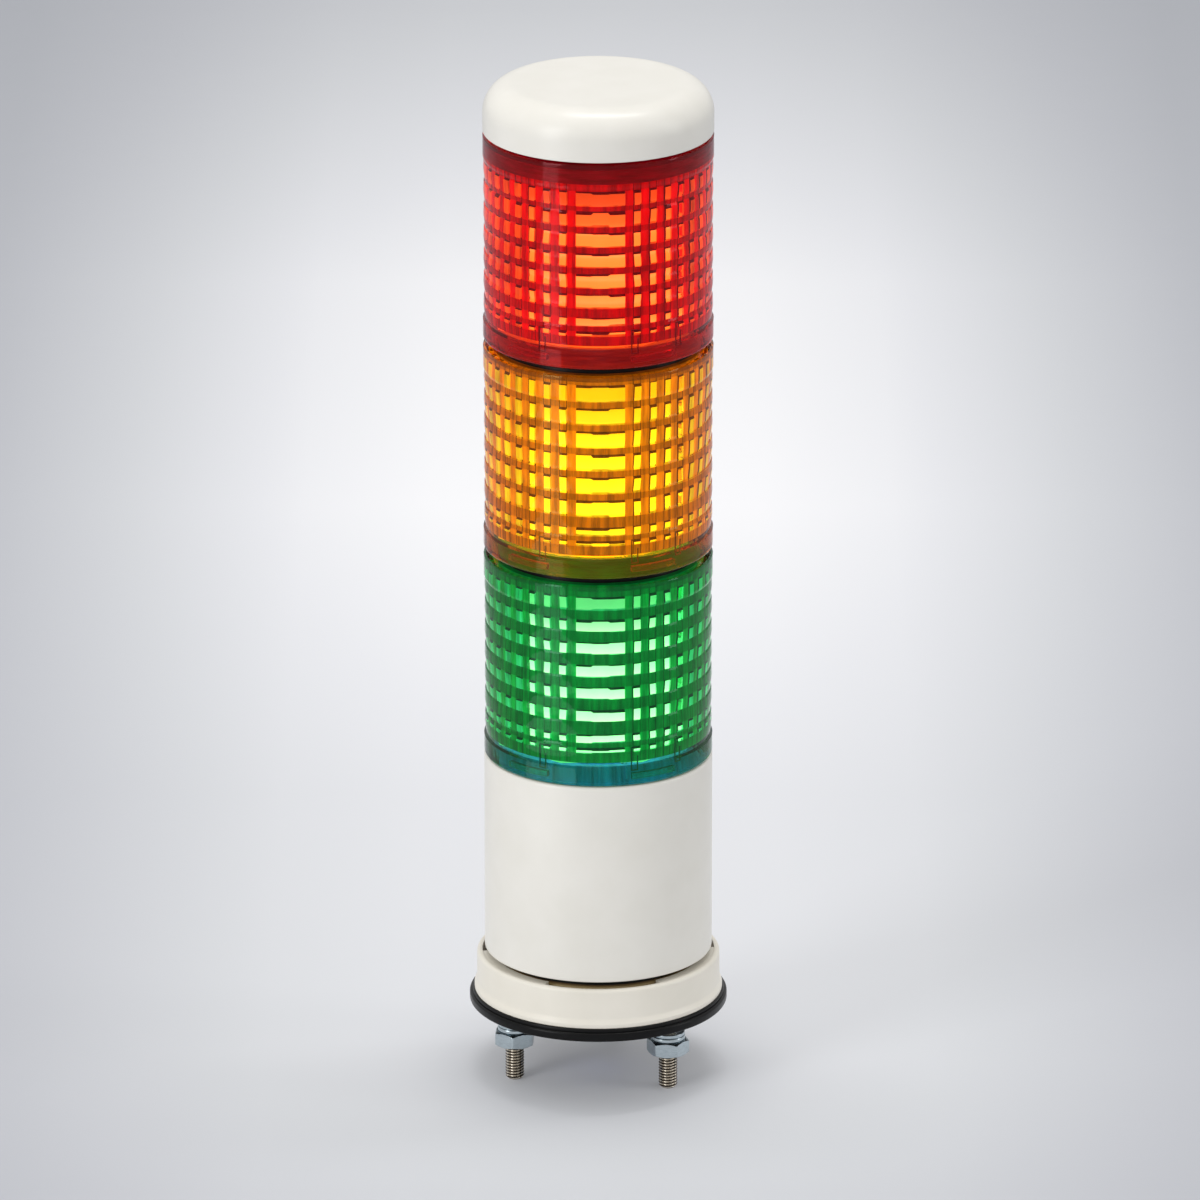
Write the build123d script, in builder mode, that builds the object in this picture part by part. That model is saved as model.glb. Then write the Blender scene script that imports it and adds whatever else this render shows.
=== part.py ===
from build123d import *
import os
from math import cos, radians, sin, sqrt

os.makedirs("parts", exist_ok=True)

# Stack light, millimetres. z = 0 is the underside of the base gasket, which lies on the machine.
# The front of the tower is along -Y. Angles are counted counter-clockwise from the front,
# seen from above, so a positive angle lies to the right of the front.
FRONT = -90

# Clearances
gap = 0.3             # between pieces that turn against each other
fit = 0.05            # between a piece and the hole that holds it

# Tower
tower_r = 30.1        # outside of the body, the lenses and the cap
body_bottom = 15.4
body_top = 70.6
body_wall = 2.4
body_floor = 2.4      # the shoulder inside the body, over its neck
neck_wall = 2.2

# Base
gasket_h = 3.3
gasket_out = 2.0      # how far it stands out beyond the flange
gasket_step_h = 2.4
gasket_step = 0.8
cable_r = 9.0         # cable inlet through the gasket
flange_hole_r = 10.0
flange_out = 2.4      # how far it stands out beyond the tower
flange_lip_out = 0.7
flange_lip_h = 2.4
flange_top = 14.0
flange_floor = 2.7
flange_wall = 1.5
ledge_h = 1.7
neck_inset = 3.6      # of the body's neck, from the outside of the tower

# Bayonet between body and flange: three windows that the body's lugs drop through
flange_lugs = 3
window_centre = 2.5
window_span = 61.0
flange_lug_span = 52.0
flange_lug_h = 1.7
flange_stop_span = 3.5
flange_stop_slack = 0.7

# Fixing studs with their nuts and washers
stud_inset = 7.0      # of the studs, from the inside of the flange
stud_count = 3
stud_angle = 51.0
stud_r = 2.5
stud_shank_r = 2.24   # pitch radius of the thread, as on a rolled stud
stud_reach = 20.0     # below the gasket
stud_tip = 0.6
stud_hole_r = 2.8
stud_head_af = 8.0
stud_head_h = 3.0
boss_wall = 1.5
nut_af = 10.0
nut_h = 4.0
nut_bottom = -10.2
nut_turns = [-6.0, 10.0, 25.0]
spring_washer_r = 4.6
spring_washer_h = 1.3
spring_washer_slit = 1.0
flat_washer_r = 4.5
flat_washer_h = 1.0
washer_sides = 24     # the small rings are many-sided rather than round

# Light modules
tier_names = ["green", "amber", "red"]
tier_pitch = 57.9
lens_h = 55.8
lens_wall = 2.2
band_bottom = 5.2     # smooth band under the cells
rows = 7
row_h = 6.3
columns = 42          # a lens has one flat side to a column, inside and out
column_turn = 5.5     # from the front to the next corner between two columns
cell_relief = 0.55    # how far each row of cells leans in at its lower edge
bore_step = 1.0       # the bore narrows by this above the base plate
shoulder_h = 2.0

# Bayonet between modules: keyed, so that a module goes on one way round only
spigot_wall = 2.2
spigot_h = 4.6        # how far a spigot reaches into the module above
claw_starts = [-54.0, 18.0, 162.0]
claw_span = 26.0
claw_bottom = 1.1
claw_h = 1.5
claw_depth = 1.1
stop_span = 2.0
stop_slack = 1.0

# Inside a light module
base_plate_h = 1.8
base_plate_z = 5.4
core_r = 21.5
core_sides = 8
core_wall = 1.5
core_top = 51.0
core_turn = 1.7
board_t = 1.6
led_board_w = 24.0
led_rows = 4
led_columns = 2
led_pitch_z = 9.5
led_pitch_x = 11.0
led_w = 3.5
led_h = 2.8
led_t = 1.2
contact_board_w = 30.0
contact_board_d = 20.0
contact_board_z = 1.0
blade_count = 5
blade_pitch = 4.0
blade_w = 1.8
blade_t = 0.6
blade_row_y = -6.0
blade_tail = 2.0

# Inside the body
spigot_foot_h = 2.4
control_board_clear = 10.4   # left free over the board for its plugs
control_board_y = -4.0
guide_inset = 3.0
guide_t = 2.0
terminal_poles = 5
terminal_pitch = 5.0
terminal_h = 10.0
terminal_d = 9.0
terminal_z = 8.0
terminal_entry = 3.0
relay_w = 10.0
relay_d = 12.0
relay_h = 14.0
relay_pitch = 14.0
relay_drop = 8.0      # from the top of the board
chip_w = 7.0
chip_t = 1.6
chip_h = 5.0
chip_pitch = 10.0
chip_drop = 5.0       # from the top of the board

# Cap
cap_seam = 1.2
cap_h = 12.5
cap_round = 8.0
round_steps = 3       # short cones that turn the broad edge
cap_wall = 2.4

# Worked out from the values above
flange_r = tower_r + flange_out
flange_lip_r = flange_r + flange_lip_out
gasket_r = flange_r + gasket_out
flange_floor_top = gasket_h + flange_floor
flange_in_r = flange_r - flange_wall
stud_pcd = 2 * (flange_in_r - stud_inset)
ledge_bottom = flange_top - ledge_h
lug_bottom = ledge_bottom - gap - flange_lug_h
neck_r = tower_r - neck_inset
ledge_in_r = neck_r + gap
ledge_span = 360 / flange_lugs - window_span
window_start = window_centre - window_span / 2
ledge_start = window_start - ledge_span
flange_lug_start = ledge_start + flange_stop_span + flange_stop_slack
flange_places = [place * 360 / flange_lugs for place in range(flange_lugs)]
body_in_r = tower_r - body_wall
body_floor_top = body_bottom + body_floor
spigot_foot = body_top - spigot_foot_h
control_board_top = spigot_foot - control_board_clear
relay_bottom = control_board_top - relay_drop - relay_h
chip_bottom = control_board_top - chip_drop - chip_h
control_board_w = 2 * sqrt(body_in_r**2 - (abs(control_board_y) + board_t / 2) ** 2) - 2 * gap
washer_bottom = nut_bottom + nut_h
skirt_in_r = tower_r - lens_wall
skirt_top = base_plate_z + base_plate_h
spigot_r = skirt_in_r - claw_depth - gap
lug_r = skirt_in_r - gap
blade_bottom = contact_board_z + board_t + gap
led_middle = (skirt_top + core_top - led_h) / 2
tier_base = body_top + gap
grid_top = band_bottom + rows * row_h
claw_top = claw_bottom + claw_h
column_corner = FRONT + column_turn
core_corner = FRONT + 180 / core_sides + core_turn
cap_bottom = tier_base + 2 * tier_pitch + lens_h + cap_seam
cap_top = cap_bottom + cap_h
cap_base = tier_base + 3 * tier_pitch
stud_angles = [stud_angle + place * 360 / stud_count for place in range(stud_count)]
stud_places = PolarLocations(stud_pcd / 2, stud_count, start_angle=FRONT + stud_angle)


def at_angle(radius, angle):
    """The point at a radius and an angle from the front."""
    return (radius * cos(radians(FRONT + angle)), radius * sin(radians(FRONT + angle)))


def sector(inner, outer, start, span):
    """A piece of a ring in the sketch being drawn."""
    with BuildLine() as outline:
        CenterArc((0, 0), outer, FRONT + start, span)
        CenterArc((0, 0), inner, FRONT + start, span)
        Line(at_angle(inner, start), at_angle(outer, start))
        Line(at_angle(inner, start + span), at_angle(outer, start + span))
    make_face(outline.edges())


def turned(points):
    """Turns a half section, drawn as radius and height, about the tower's axis."""
    with BuildSketch(Plane.XZ) as section:
        with BuildLine():
            Polyline(*points, close=True)
        make_face()
    revolve(section.sketch, axis=Axis.Z)


def spigot(bottom, base):
    """A tube up into the module that stands on base, with three lugs and their stops."""
    with BuildSketch(Plane.XY.offset(bottom)) as tube:
        RegularPolygon(spigot_r, columns, rotation=column_corner)
        RegularPolygon(spigot_r - spigot_wall, columns, rotation=column_corner, mode=Mode.SUBTRACT)
    extrude(tube.sketch, amount=base + spigot_h - bottom)
    wall_middle = spigot_r - spigot_wall / 2
    with BuildSketch(Plane.XY.offset(base + claw_top + gap)) as lugs:
        for start in claw_starts:
            lug_start = start - stop_slack - stop_span
            sector(wall_middle, lug_r, lug_start, start + claw_span - lug_start)
    extrude(lugs.sketch, amount=claw_h)
    with BuildSketch(Plane.XY.offset(base + claw_bottom)) as stops:
        for start in claw_starts:
            sector(wall_middle, lug_r, start - stop_slack - stop_span, stop_span)
    extrude(stops.sketch, amount=claw_h + gap)


def bore(bottom, top, radius):
    """A hole along the axis with one flat side to a column."""
    with BuildSketch(Plane.XY.offset(bottom)) as hole:
        RegularPolygon(radius, columns, rotation=column_corner)
    extrude(hole.sketch, amount=top - bottom, mode=Mode.SUBTRACT)


def claws(base):
    """Inward claws of a skirt, which turn in under the lugs of the spigot below."""
    with BuildSketch(Plane.XY.offset(base + claw_bottom)) as feet:
        for start in claw_starts:
            sector(skirt_in_r - claw_depth, skirt_in_r + lens_wall / 2, start, claw_span)
    extrude(feet.sketch, amount=claw_h)


def export(piece, name):
    """Names a finished piece and writes it."""
    piece.label = name
    export_step(piece, f"parts/{name}.step")


# Base gasket: a rubber ring with a stepped edge, pierced for the cable and the studs
with BuildPart() as base_gasket:
    turned([
        (cable_r, 0),
        (gasket_r, 0),
        (gasket_r, gasket_step_h),
        (gasket_r - gasket_step, gasket_step_h),
        (gasket_r - gasket_step, gasket_h),
        (cable_r, gasket_h),
    ])
    with BuildSketch():
        with stud_places:
            Circle(stud_hole_r)
    extrude(amount=gasket_h, mode=Mode.SUBTRACT)
export(base_gasket.part, "base_gasket")

# Base flange: a dish with a ledge under its rim and a boss round each stud head
with BuildPart() as base_flange:
    turned([
        (flange_hole_r, gasket_h),
        (flange_lip_r, gasket_h),
        (flange_r, gasket_h + flange_lip_h),
        (flange_r, flange_top),
        (ledge_in_r, flange_top),
        (ledge_in_r, ledge_bottom),
        (flange_in_r, ledge_bottom),
        (flange_in_r, flange_floor_top),
        (flange_hole_r, flange_floor_top),
    ])
    with BuildSketch(Plane.XY.offset(ledge_bottom)):
        for turn in flange_places:
            sector(neck_r, flange_in_r, window_start + turn, window_span)
    extrude(amount=ledge_h, mode=Mode.SUBTRACT)
    with BuildSketch(Plane.XY.offset(lug_bottom)):
        for turn in flange_places:
            sector(ledge_in_r, flange_r - flange_wall / 2, ledge_start + turn, flange_stop_span)
    extrude(amount=ledge_bottom + ledge_h / 2 - lug_bottom)
    with BuildSketch(Plane.XY.offset(gasket_h + flange_floor / 2)):
        with stud_places:
            RegularPolygon(stud_head_af / 2 + boss_wall, 6, major_radius=False, rotation=30)
    extrude(amount=flange_floor / 2 + stud_head_h)
    with BuildSketch(Plane.XY.offset(flange_floor_top)):
        with stud_places:
            RegularPolygon(stud_head_af / 2 + fit, 6, major_radius=False, rotation=30)
    extrude(amount=stud_head_h, mode=Mode.SUBTRACT)
    with BuildSketch(Plane.XY.offset(gasket_h)):
        with stud_places:
            Circle(stud_shank_r + fit)
    extrude(amount=flange_floor, mode=Mode.SUBTRACT)
export(base_flange.part, "base_flange")

# Fixing studs: hexagon heads held in the bosses, shanks down through the gasket
with BuildPart() as mounting_studs:
    with BuildSketch(Plane.XY.offset(flange_floor_top)):
        with stud_places:
            RegularPolygon(stud_head_af / 2, 6, major_radius=False, rotation=30)
    extrude(amount=stud_head_h)
    with BuildSketch(Plane.XY.offset(nut_bottom)):
        with stud_places:
            Circle(stud_shank_r)
    extrude(amount=flange_floor_top - nut_bottom)
    with BuildSketch(Plane.XY.offset(-stud_reach)):
        with stud_places:
            Circle(stud_r)
    extrude(amount=stud_reach + nut_bottom)
    chamfer(mounting_studs.edges().group_by(Axis.Z)[0], stud_tip)
export(mounting_studs.part, "mounting_studs")

# Hexagon nuts, spun up the studs as the light is delivered
with BuildPart() as hex_nuts:
    with BuildSketch(Plane.XY.offset(nut_bottom)):
        for angle, turn in zip(stud_angles, nut_turns):
            with Locations(at_angle(stud_pcd / 2, angle)):
                RegularPolygon(nut_af / 2, 6, major_radius=False, rotation=turn)
                Circle(stud_shank_r + fit, mode=Mode.SUBTRACT)
    extrude(amount=nut_h)
export(hex_nuts.part, "hex_nuts")

# Spring washers on the nuts: slit rings
with BuildPart() as spring_washers:
    with BuildSketch(Plane.XY.offset(washer_bottom)):
        with stud_places:
            RegularPolygon(spring_washer_r, washer_sides)
            RegularPolygon(stud_hole_r, washer_sides, mode=Mode.SUBTRACT)
            with Locations((spring_washer_r, 0)):
                Rectangle(2 * spring_washer_r, spring_washer_slit, mode=Mode.SUBTRACT)
    extrude(amount=spring_washer_h)
export(spring_washers.part, "spring_washers")

# Flat washers on the spring washers
with BuildPart() as flat_washers:
    with BuildSketch(Plane.XY.offset(washer_bottom + spring_washer_h)):
        with stud_places:
            RegularPolygon(flat_washer_r, washer_sides)
            RegularPolygon(stud_hole_r, washer_sides, mode=Mode.SUBTRACT)
    extrude(amount=flat_washer_h)
export(flat_washers.part, "flat_washers")

# Body housing: a plain shell over a neck with three bayonet lugs, board guides inside
with BuildPart() as body_housing:
    turned([
        (neck_r - neck_wall, lug_bottom),
        (neck_r, lug_bottom),
        (neck_r, body_bottom),
        (tower_r, body_bottom),
        (tower_r, body_top),
        (body_in_r, body_top),
        (body_in_r, body_floor_top),
        (neck_r - neck_wall, body_floor_top),
    ])
    with BuildSketch(Plane.XY.offset(lug_bottom)):
        for turn in flange_places:
            sector(neck_r - neck_wall / 2, flange_in_r - 2 * gap, flange_lug_start + turn, flange_lug_span)
    extrude(amount=flange_lug_h)
    guide_reach = guide_inset + body_wall / 2
    guide_offset = board_t / 2 + fit + guide_t / 2
    with BuildSketch(Plane.XY.offset(body_floor_top)):
        for side in (-1, 1):
            for face in (-1, 1):
                guide_x = side * (body_in_r + body_wall / 2 - guide_reach / 2 - gap)
                with Locations((guide_x, control_board_y + face * guide_offset)):
                    Rectangle(guide_reach, guide_t)
    extrude(amount=spigot_foot - body_floor_top)
export(body_housing.part, "body_housing")

# Spigot ring: dark moulding in the top of the body that the lowest module locks onto
with BuildPart() as body_spigot:
    with BuildSketch(Plane.XY.offset(spigot_foot)):
        Circle(body_in_r - fit)
    extrude(amount=spigot_foot_h)
    spigot(body_top - spigot_foot_h / 2, tier_base)
    with BuildSketch(Plane.XY.offset(body_top)):
        Rectangle(contact_board_w, contact_board_d)
    extrude(amount=tier_base + contact_board_z - body_top)
export(body_spigot.part, "body_spigot")

# Control board, standing in the guides
with BuildPart() as control_board:
    with BuildSketch(Plane.XY.offset(body_floor_top)):
        with Locations((0, control_board_y)):
            Rectangle(control_board_w, board_t)
    extrude(amount=control_board_top - body_floor_top)
export(control_board.part, "control_board")

# Terminal block on the board: a wire entry below and a screw well above for each pole
with BuildPart() as terminal_block:
    terminal_bottom = body_floor_top + terminal_z
    terminal_y = control_board_y - board_t / 2 - terminal_d / 2
    with BuildSketch(Plane.XY.offset(terminal_bottom)):
        with Locations((0, terminal_y)):
            Rectangle(terminal_poles * terminal_pitch, terminal_d)
    extrude(amount=terminal_h)
    for end in (terminal_bottom, terminal_bottom + terminal_h * 2 / 3):
        with BuildSketch(Plane.XY.offset(end)):
            with Locations((0, terminal_y)):
                with GridLocations(terminal_pitch, 0, terminal_poles, 1):
                    Rectangle(terminal_entry, terminal_entry)
        extrude(amount=terminal_h / 3, mode=Mode.SUBTRACT)
export(terminal_block.part, "terminal_block")

# Relays on the back of the board, which switch the modules
with BuildPart() as relays:
    with BuildSketch(Plane.XY.offset(relay_bottom)):
        with Locations((0, control_board_y + board_t / 2 + relay_d / 2)):
            with GridLocations(relay_pitch, 0, 2, 1):
                Rectangle(relay_w, relay_d)
    extrude(amount=relay_h)
export(relays.part, "relays")

# Driver chips on the front of the board, one for each module
with BuildPart() as driver_chips:
    with BuildSketch(Plane.XY.offset(chip_bottom)):
        with Locations((0, control_board_y - board_t / 2 - chip_t / 2)):
            with GridLocations(chip_pitch, 0, len(tier_names), 1):
                Rectangle(chip_w, chip_t)
    extrude(amount=chip_h)
export(driver_chips.part, "driver_chips")


# Contact board: the flat board that the blades of the module above slide on
with BuildPart() as contact_board:
    with BuildSketch(Plane.XY.offset(contact_board_z)):
        Rectangle(contact_board_w, contact_board_d)
    extrude(amount=board_t)

# Lens: smooth skirt and shoulder, rows of flat cells between them, spigot on top
with BuildPart() as lens:
    with BuildSketch():
        RegularPolygon(tower_r, columns, rotation=column_corner)
    extrude(amount=band_bottom)
    for row in range(rows):
        row_bottom = band_bottom + row * row_h
        with BuildSketch(Plane.XY.offset(row_bottom)):
            RegularPolygon(tower_r - cell_relief, columns, rotation=column_corner)
        with BuildSketch(Plane.XY.offset(row_bottom + row_h)):
            RegularPolygon(tower_r, columns, rotation=column_corner)
        loft(ruled=True)
    with BuildSketch(Plane.XY.offset(grid_top)):
        RegularPolygon(tower_r, columns, rotation=column_corner)
    extrude(amount=lens_h - grid_top)
    bore(0, skirt_top, skirt_in_r)
    bore(skirt_top, lens_h - shoulder_h, skirt_in_r - bore_step)
    bore(lens_h - shoulder_h, lens_h, spigot_r - spigot_wall)
    spigot(lens_h - shoulder_h, tier_pitch)
    claws(0)

# Base plate: closes a module from below against the step in the bore, slotted for the blades
with BuildPart() as module_base:
    with BuildSketch(Plane.XY.offset(base_plate_z)):
        RegularPolygon(skirt_in_r - gap, core_sides, rotation=core_corner)
        with Locations((0, blade_row_y)):
            with GridLocations(blade_pitch, 0, blade_count, 1):
                Rectangle(blade_w + 2 * fit, blade_t + 2 * fit, mode=Mode.SUBTRACT)
    extrude(amount=base_plate_h)

# Contact blades: through the base plate, down to just over the contact board below
with BuildPart() as contact_blades:
    with BuildSketch(Plane.XY.offset(blade_bottom)):
        with Locations((0, blade_row_y)):
            with GridLocations(blade_pitch, 0, blade_count, 1):
                Rectangle(blade_w, blade_t)
    extrude(amount=skirt_top + blade_tail - blade_bottom)

# Light core: a white eight-sided tube, closed on top but for the board's slot
with BuildPart() as light_core:
    with BuildSketch(Plane.XY.offset(skirt_top)):
        RegularPolygon(core_r, core_sides, rotation=core_corner)
    extrude(amount=core_top - skirt_top)
    with BuildSketch(Plane.XY.offset(skirt_top)):
        RegularPolygon(core_r - core_wall, core_sides, rotation=core_corner)
    extrude(amount=core_top - skirt_top - core_wall, mode=Mode.SUBTRACT)
    with BuildSketch(Plane.XY.offset(core_top - core_wall)):
        Rectangle(led_board_w + 2 * gap, board_t + 2 * gap)
    extrude(amount=core_wall, mode=Mode.SUBTRACT)

# Upright board: from the base plate up to the contact board on the spigot
with BuildPart() as led_board:
    with BuildSketch(Plane.XY.offset(skirt_top)):
        Rectangle(led_board_w, board_t)
    extrude(amount=tier_pitch + contact_board_z - skirt_top)

# Light-emitting chips, in rows on both faces of the upright board
with BuildPart() as leds:
    for row in range(led_rows):
        with BuildSketch(Plane.XY.offset(led_middle + (row - (led_rows - 1) / 2) * led_pitch_z)):
            with GridLocations(led_pitch_x, board_t + led_t, led_columns, 2):
                Rectangle(led_w, led_t)
        extrude(amount=led_h)

# The three light modules are alike but for the colour, and stand on each other from the body up
module_pieces = {
    "lens": lens,
    "module_base": module_base,
    "contact_blades": contact_blades,
    "light_core": light_core,
    "led_board": led_board,
    "leds": leds,
}
export(contact_board.part.moved(Location((0, 0, tier_base))), "body_contact_board")
for number, name in enumerate(tier_names):
    place = Location((0, 0, tier_base + number * tier_pitch))
    for piece_name, piece in module_pieces.items():
        export(piece.part.moved(place), f"{name}_{piece_name}")
    over = Location((0, 0, tier_base + (number + 1) * tier_pitch))
    export(contact_board.part.moved(over), f"{name}_contact_board")

# Cap: a lid with a broad round edge, locked on the top spigot
with BuildPart() as top_cap:
    edge_r = tower_r - cap_round
    edge_z = cap_top - cap_round
    quarter = [radians(90 * step / round_steps) for step in range(round_steps + 1)]
    turned([
        (0, cap_bottom),
        (tower_r, cap_bottom),
        *[(edge_r + cap_round * cos(a), edge_z + cap_round * sin(a)) for a in quarter],
        (0, cap_top),
    ])
    bore(cap_bottom, cap_base + spigot_h + gap, skirt_in_r)
    bore(cap_base + spigot_h + gap, cap_top - cap_wall, edge_r)
    claws(cap_base)
export(top_cap.part, "top_cap")
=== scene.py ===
from math import cos, pi, radians, sin, sqrt, tan
from random import Random

import bmesh
import bpy
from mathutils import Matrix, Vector


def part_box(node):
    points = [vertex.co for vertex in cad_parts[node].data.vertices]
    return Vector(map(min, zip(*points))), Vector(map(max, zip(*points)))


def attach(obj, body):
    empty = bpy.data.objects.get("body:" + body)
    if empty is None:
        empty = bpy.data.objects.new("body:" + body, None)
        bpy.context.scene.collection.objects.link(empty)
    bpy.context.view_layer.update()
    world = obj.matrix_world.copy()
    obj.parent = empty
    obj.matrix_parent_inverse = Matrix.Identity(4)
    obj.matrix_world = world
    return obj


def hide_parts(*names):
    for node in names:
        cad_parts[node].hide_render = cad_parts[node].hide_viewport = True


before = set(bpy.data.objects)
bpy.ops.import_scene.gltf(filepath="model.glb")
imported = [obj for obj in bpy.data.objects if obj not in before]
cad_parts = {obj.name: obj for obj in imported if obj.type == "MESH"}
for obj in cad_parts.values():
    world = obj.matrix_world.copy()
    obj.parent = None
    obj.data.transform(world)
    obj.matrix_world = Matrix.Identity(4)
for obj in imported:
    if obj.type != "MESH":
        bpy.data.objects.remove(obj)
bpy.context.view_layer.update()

# Blender works in metres; sizes below are in millimetres where they carry MM
MM = 0.001
FRONT = -pi / 2          # angles are counted from the front, which lies along -Y

# Camera, as worked out from the seams' ellipses in the photograph. Lengths are in metres.
CAMERA_DISTANCE = 3.2
CAMERA_ELEVATION = radians(19.2)
CAMERA_LENS = 361.6      # millimetres, for the sensor width below
CAMERA_SENSOR = 36
CAMERA_TARGET = Vector((0.00045, 0, 0.1126))
CAMERA_FAR = 50


def box_of(node):
    """A node's lowest and highest corners, in millimetres."""
    low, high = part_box(node)
    return low / MM, high / MM


gasket_low, gasket_high = box_of("base_gasket")
flange_low, flange_high = box_of("base_flange")
body_low, body_high = box_of("body_housing")
cap_low, cap_high = box_of("top_cap")
stud_low, stud_high = box_of("mounting_studs")
nut_low, nut_high = box_of("hex_nuts")
TOWER_R = body_high.x
BODY_BOTTOM = 15.4       # under its shell, above its neck
FLOOR_Z = stud_low.z * MM


# Node helpers
class Shader:
    """A material under construction, with short ways to add nodes."""

    def __init__(self, name):
        self.material = bpy.data.materials.new(name)
        self.material.use_nodes = True
        self.tree = self.material.node_tree
        self.bsdf = self.tree.nodes["Principled BSDF"]
        self.output = self.tree.nodes["Material Output"]

    def node(self, kind, inputs=None, **settings):
        made = self.tree.nodes.new(kind)
        for key, value in settings.items():
            setattr(made, key, value)
        for key, value in (inputs or {}).items():
            if isinstance(value, bpy.types.NodeSocket):
                self.tree.links.new(value, made.inputs[key])
            else:
                made.inputs[key].default_value = value
        return made

    def link(self, socket, target):
        self.tree.links.new(socket, target)

    def place(self, scale=(1, 1, 1)):
        """Object coordinates, stretched by scale."""
        coords = self.node("ShaderNodeTexCoord")
        mapping = self.node("ShaderNodeMapping", {"Vector": coords.outputs["Object"], "Scale": scale})
        return mapping.outputs["Vector"]

    def noise(self, scale, detail=3.0, roughness=0.5, stretch=(1, 1, 1)):
        made = self.node("ShaderNodeTexNoise", {
            "Vector": self.place(stretch), "Scale": scale, "Detail": detail, "Roughness": roughness,
        })
        return made.outputs["Fac"]

    def ramp(self, factor, stops):
        made = self.node("ShaderNodeValToRGB", {"Fac": factor})
        elements = made.color_ramp.elements
        while len(elements) < len(stops):
            elements.new(0.5)
        for element, (position, colour) in zip(elements, stops):
            element.position = position
            element.color = (*colour, 1)
        return made.outputs["Color"]

    def spread(self, factor, low, high):
        """Maps a factor of 0 to 1 onto low to high."""
        made = self.node("ShaderNodeMapRange", {
            "Value": factor, "From Min": 0.0, "From Max": 1.0, "To Min": low, "To Max": high,
        })
        return made.outputs["Result"]

    def span(self, value, low, high):
        """Maps a value from low to high onto 0 to 1."""
        made = self.node("ShaderNodeMapRange", {"Value": value, "From Min": low, "From Max": high})
        return made.outputs["Result"]

    def bump(self, height, strength, distance, below=None):
        inputs = {"Height": height, "Strength": strength, "Distance": distance}
        if below is not None:
            inputs["Normal"] = below
        return self.node("ShaderNodeBump", inputs).outputs["Normal"]

    def math(self, operation, *values):
        return self.node("ShaderNodeMath", dict(enumerate(values)), operation=operation).outputs["Value"]

    def height(self):
        """Height above the frame's origin, in metres."""
        return self.node("ShaderNodeSeparateXYZ", {"Vector": self.place()}).outputs["Z"]

    def set(self, **values):
        for key, value in values.items():
            self.bsdf.inputs[key.replace("_", " ")].default_value = value


def srgb(*channels):
    """The linear colour of an sRGB one, counted 0 to 255."""
    shares = [channel / 255 for channel in channels]
    return tuple(s / 12.92 if s <= 0.04045 else ((s + 0.055) / 1.055) ** 2.4 for s in shares)


def dimmed(colour, share):
    return tuple(channel * share for channel in colour)


def greys(levels):
    """Stops of a grey ramp, from pairs of place and level."""
    return [(place, (level, level, level)) for place, level in levels]


def moulded_plastic(name, colour, shade, roughness):
    """Moulded plastic: nearly even, with a faint mottle and a very fine skin."""
    shader = Shader(name)
    mottle = shader.noise(90, 4)
    shader.link(shader.ramp(mottle, [(0.3, shade), (0.7, colour)]), shader.bsdf.inputs["Base Color"])
    shader.link(shader.spread(shader.noise(260, 2), roughness - 0.03, roughness + 0.05),
                shader.bsdf.inputs["Roughness"])
    skin = shader.bump(shader.noise(2600, 2), 0.02, 0.00005)
    shader.link(shader.bump(shader.noise(120, 2), 0.05, 0.0002, skin), shader.bsdf.inputs["Normal"])
    shader.set(IOR=1.5)
    return shader.material


def rubber(name):
    shader = Shader(name)
    grain = shader.noise(900, 4)
    shader.link(shader.ramp(grain, [(0.35, srgb(3, 3, 3)), (0.7, srgb(9, 9, 10))]),
                shader.bsdf.inputs["Base Color"])
    shader.link(shader.spread(shader.noise(300, 3), 0.24, 0.38), shader.bsdf.inputs["Roughness"])
    shader.link(shader.bump(grain, 0.15, 0.00008), shader.bsdf.inputs["Normal"])
    shader.set(Specular_IOR_Level=0.2)
    return shader.material


def plated_steel(name, colour, roughness, stretch):
    """Bright plated steel: fine turning marks, uneven gloss."""
    shader = Shader(name)
    marks = shader.noise(700, 4, 0.6, stretch)
    shader.link(shader.ramp(marks, [(0.3, dimmed(colour, 0.8)), (0.65, colour)]),
                shader.bsdf.inputs["Base Color"])
    shader.link(shader.spread(marks, roughness - 0.06, roughness + 0.1), shader.bsdf.inputs["Roughness"])
    shader.link(shader.bump(marks, 0.12, 0.00003), shader.bsdf.inputs["Normal"])
    shader.set(Metallic=1.0)
    return shader.material


def tinted_plastic(name, tint, absorbed, fill_glow):
    """Clear plastic with its dye in the volume, so that thick ribs come out deeper than windows."""
    shader = Shader(name)
    shader.set(Transmission_Weight=1.0, IOR=1.42)
    shader.bsdf.inputs["Base Color"].default_value = (*tint, 1)
    shader.bsdf.inputs["Specular Tint"].default_value = (*tint, 1)
    # a faint painted glow in the plastic's own colour, for light scattered inside it
    shader.bsdf.inputs["Emission Color"].default_value = (*fill_glow, 1)
    shader.set(Emission_Strength=PAINTED_FILL_GLOW, Roughness=0.02)
    shader.link(shader.bump(shader.noise(400, 2), 0.03, 0.0001), shader.bsdf.inputs["Normal"])
    inside = shader.node("ShaderNodeVolumeAbsorption")
    inside.inputs["Color"].default_value = (*absorbed, 1)
    inside.inputs["Density"].default_value = DENSITY
    shader.link(inside.outputs["Volume"], shader.output.inputs["Volume"])
    return shader.material


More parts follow.
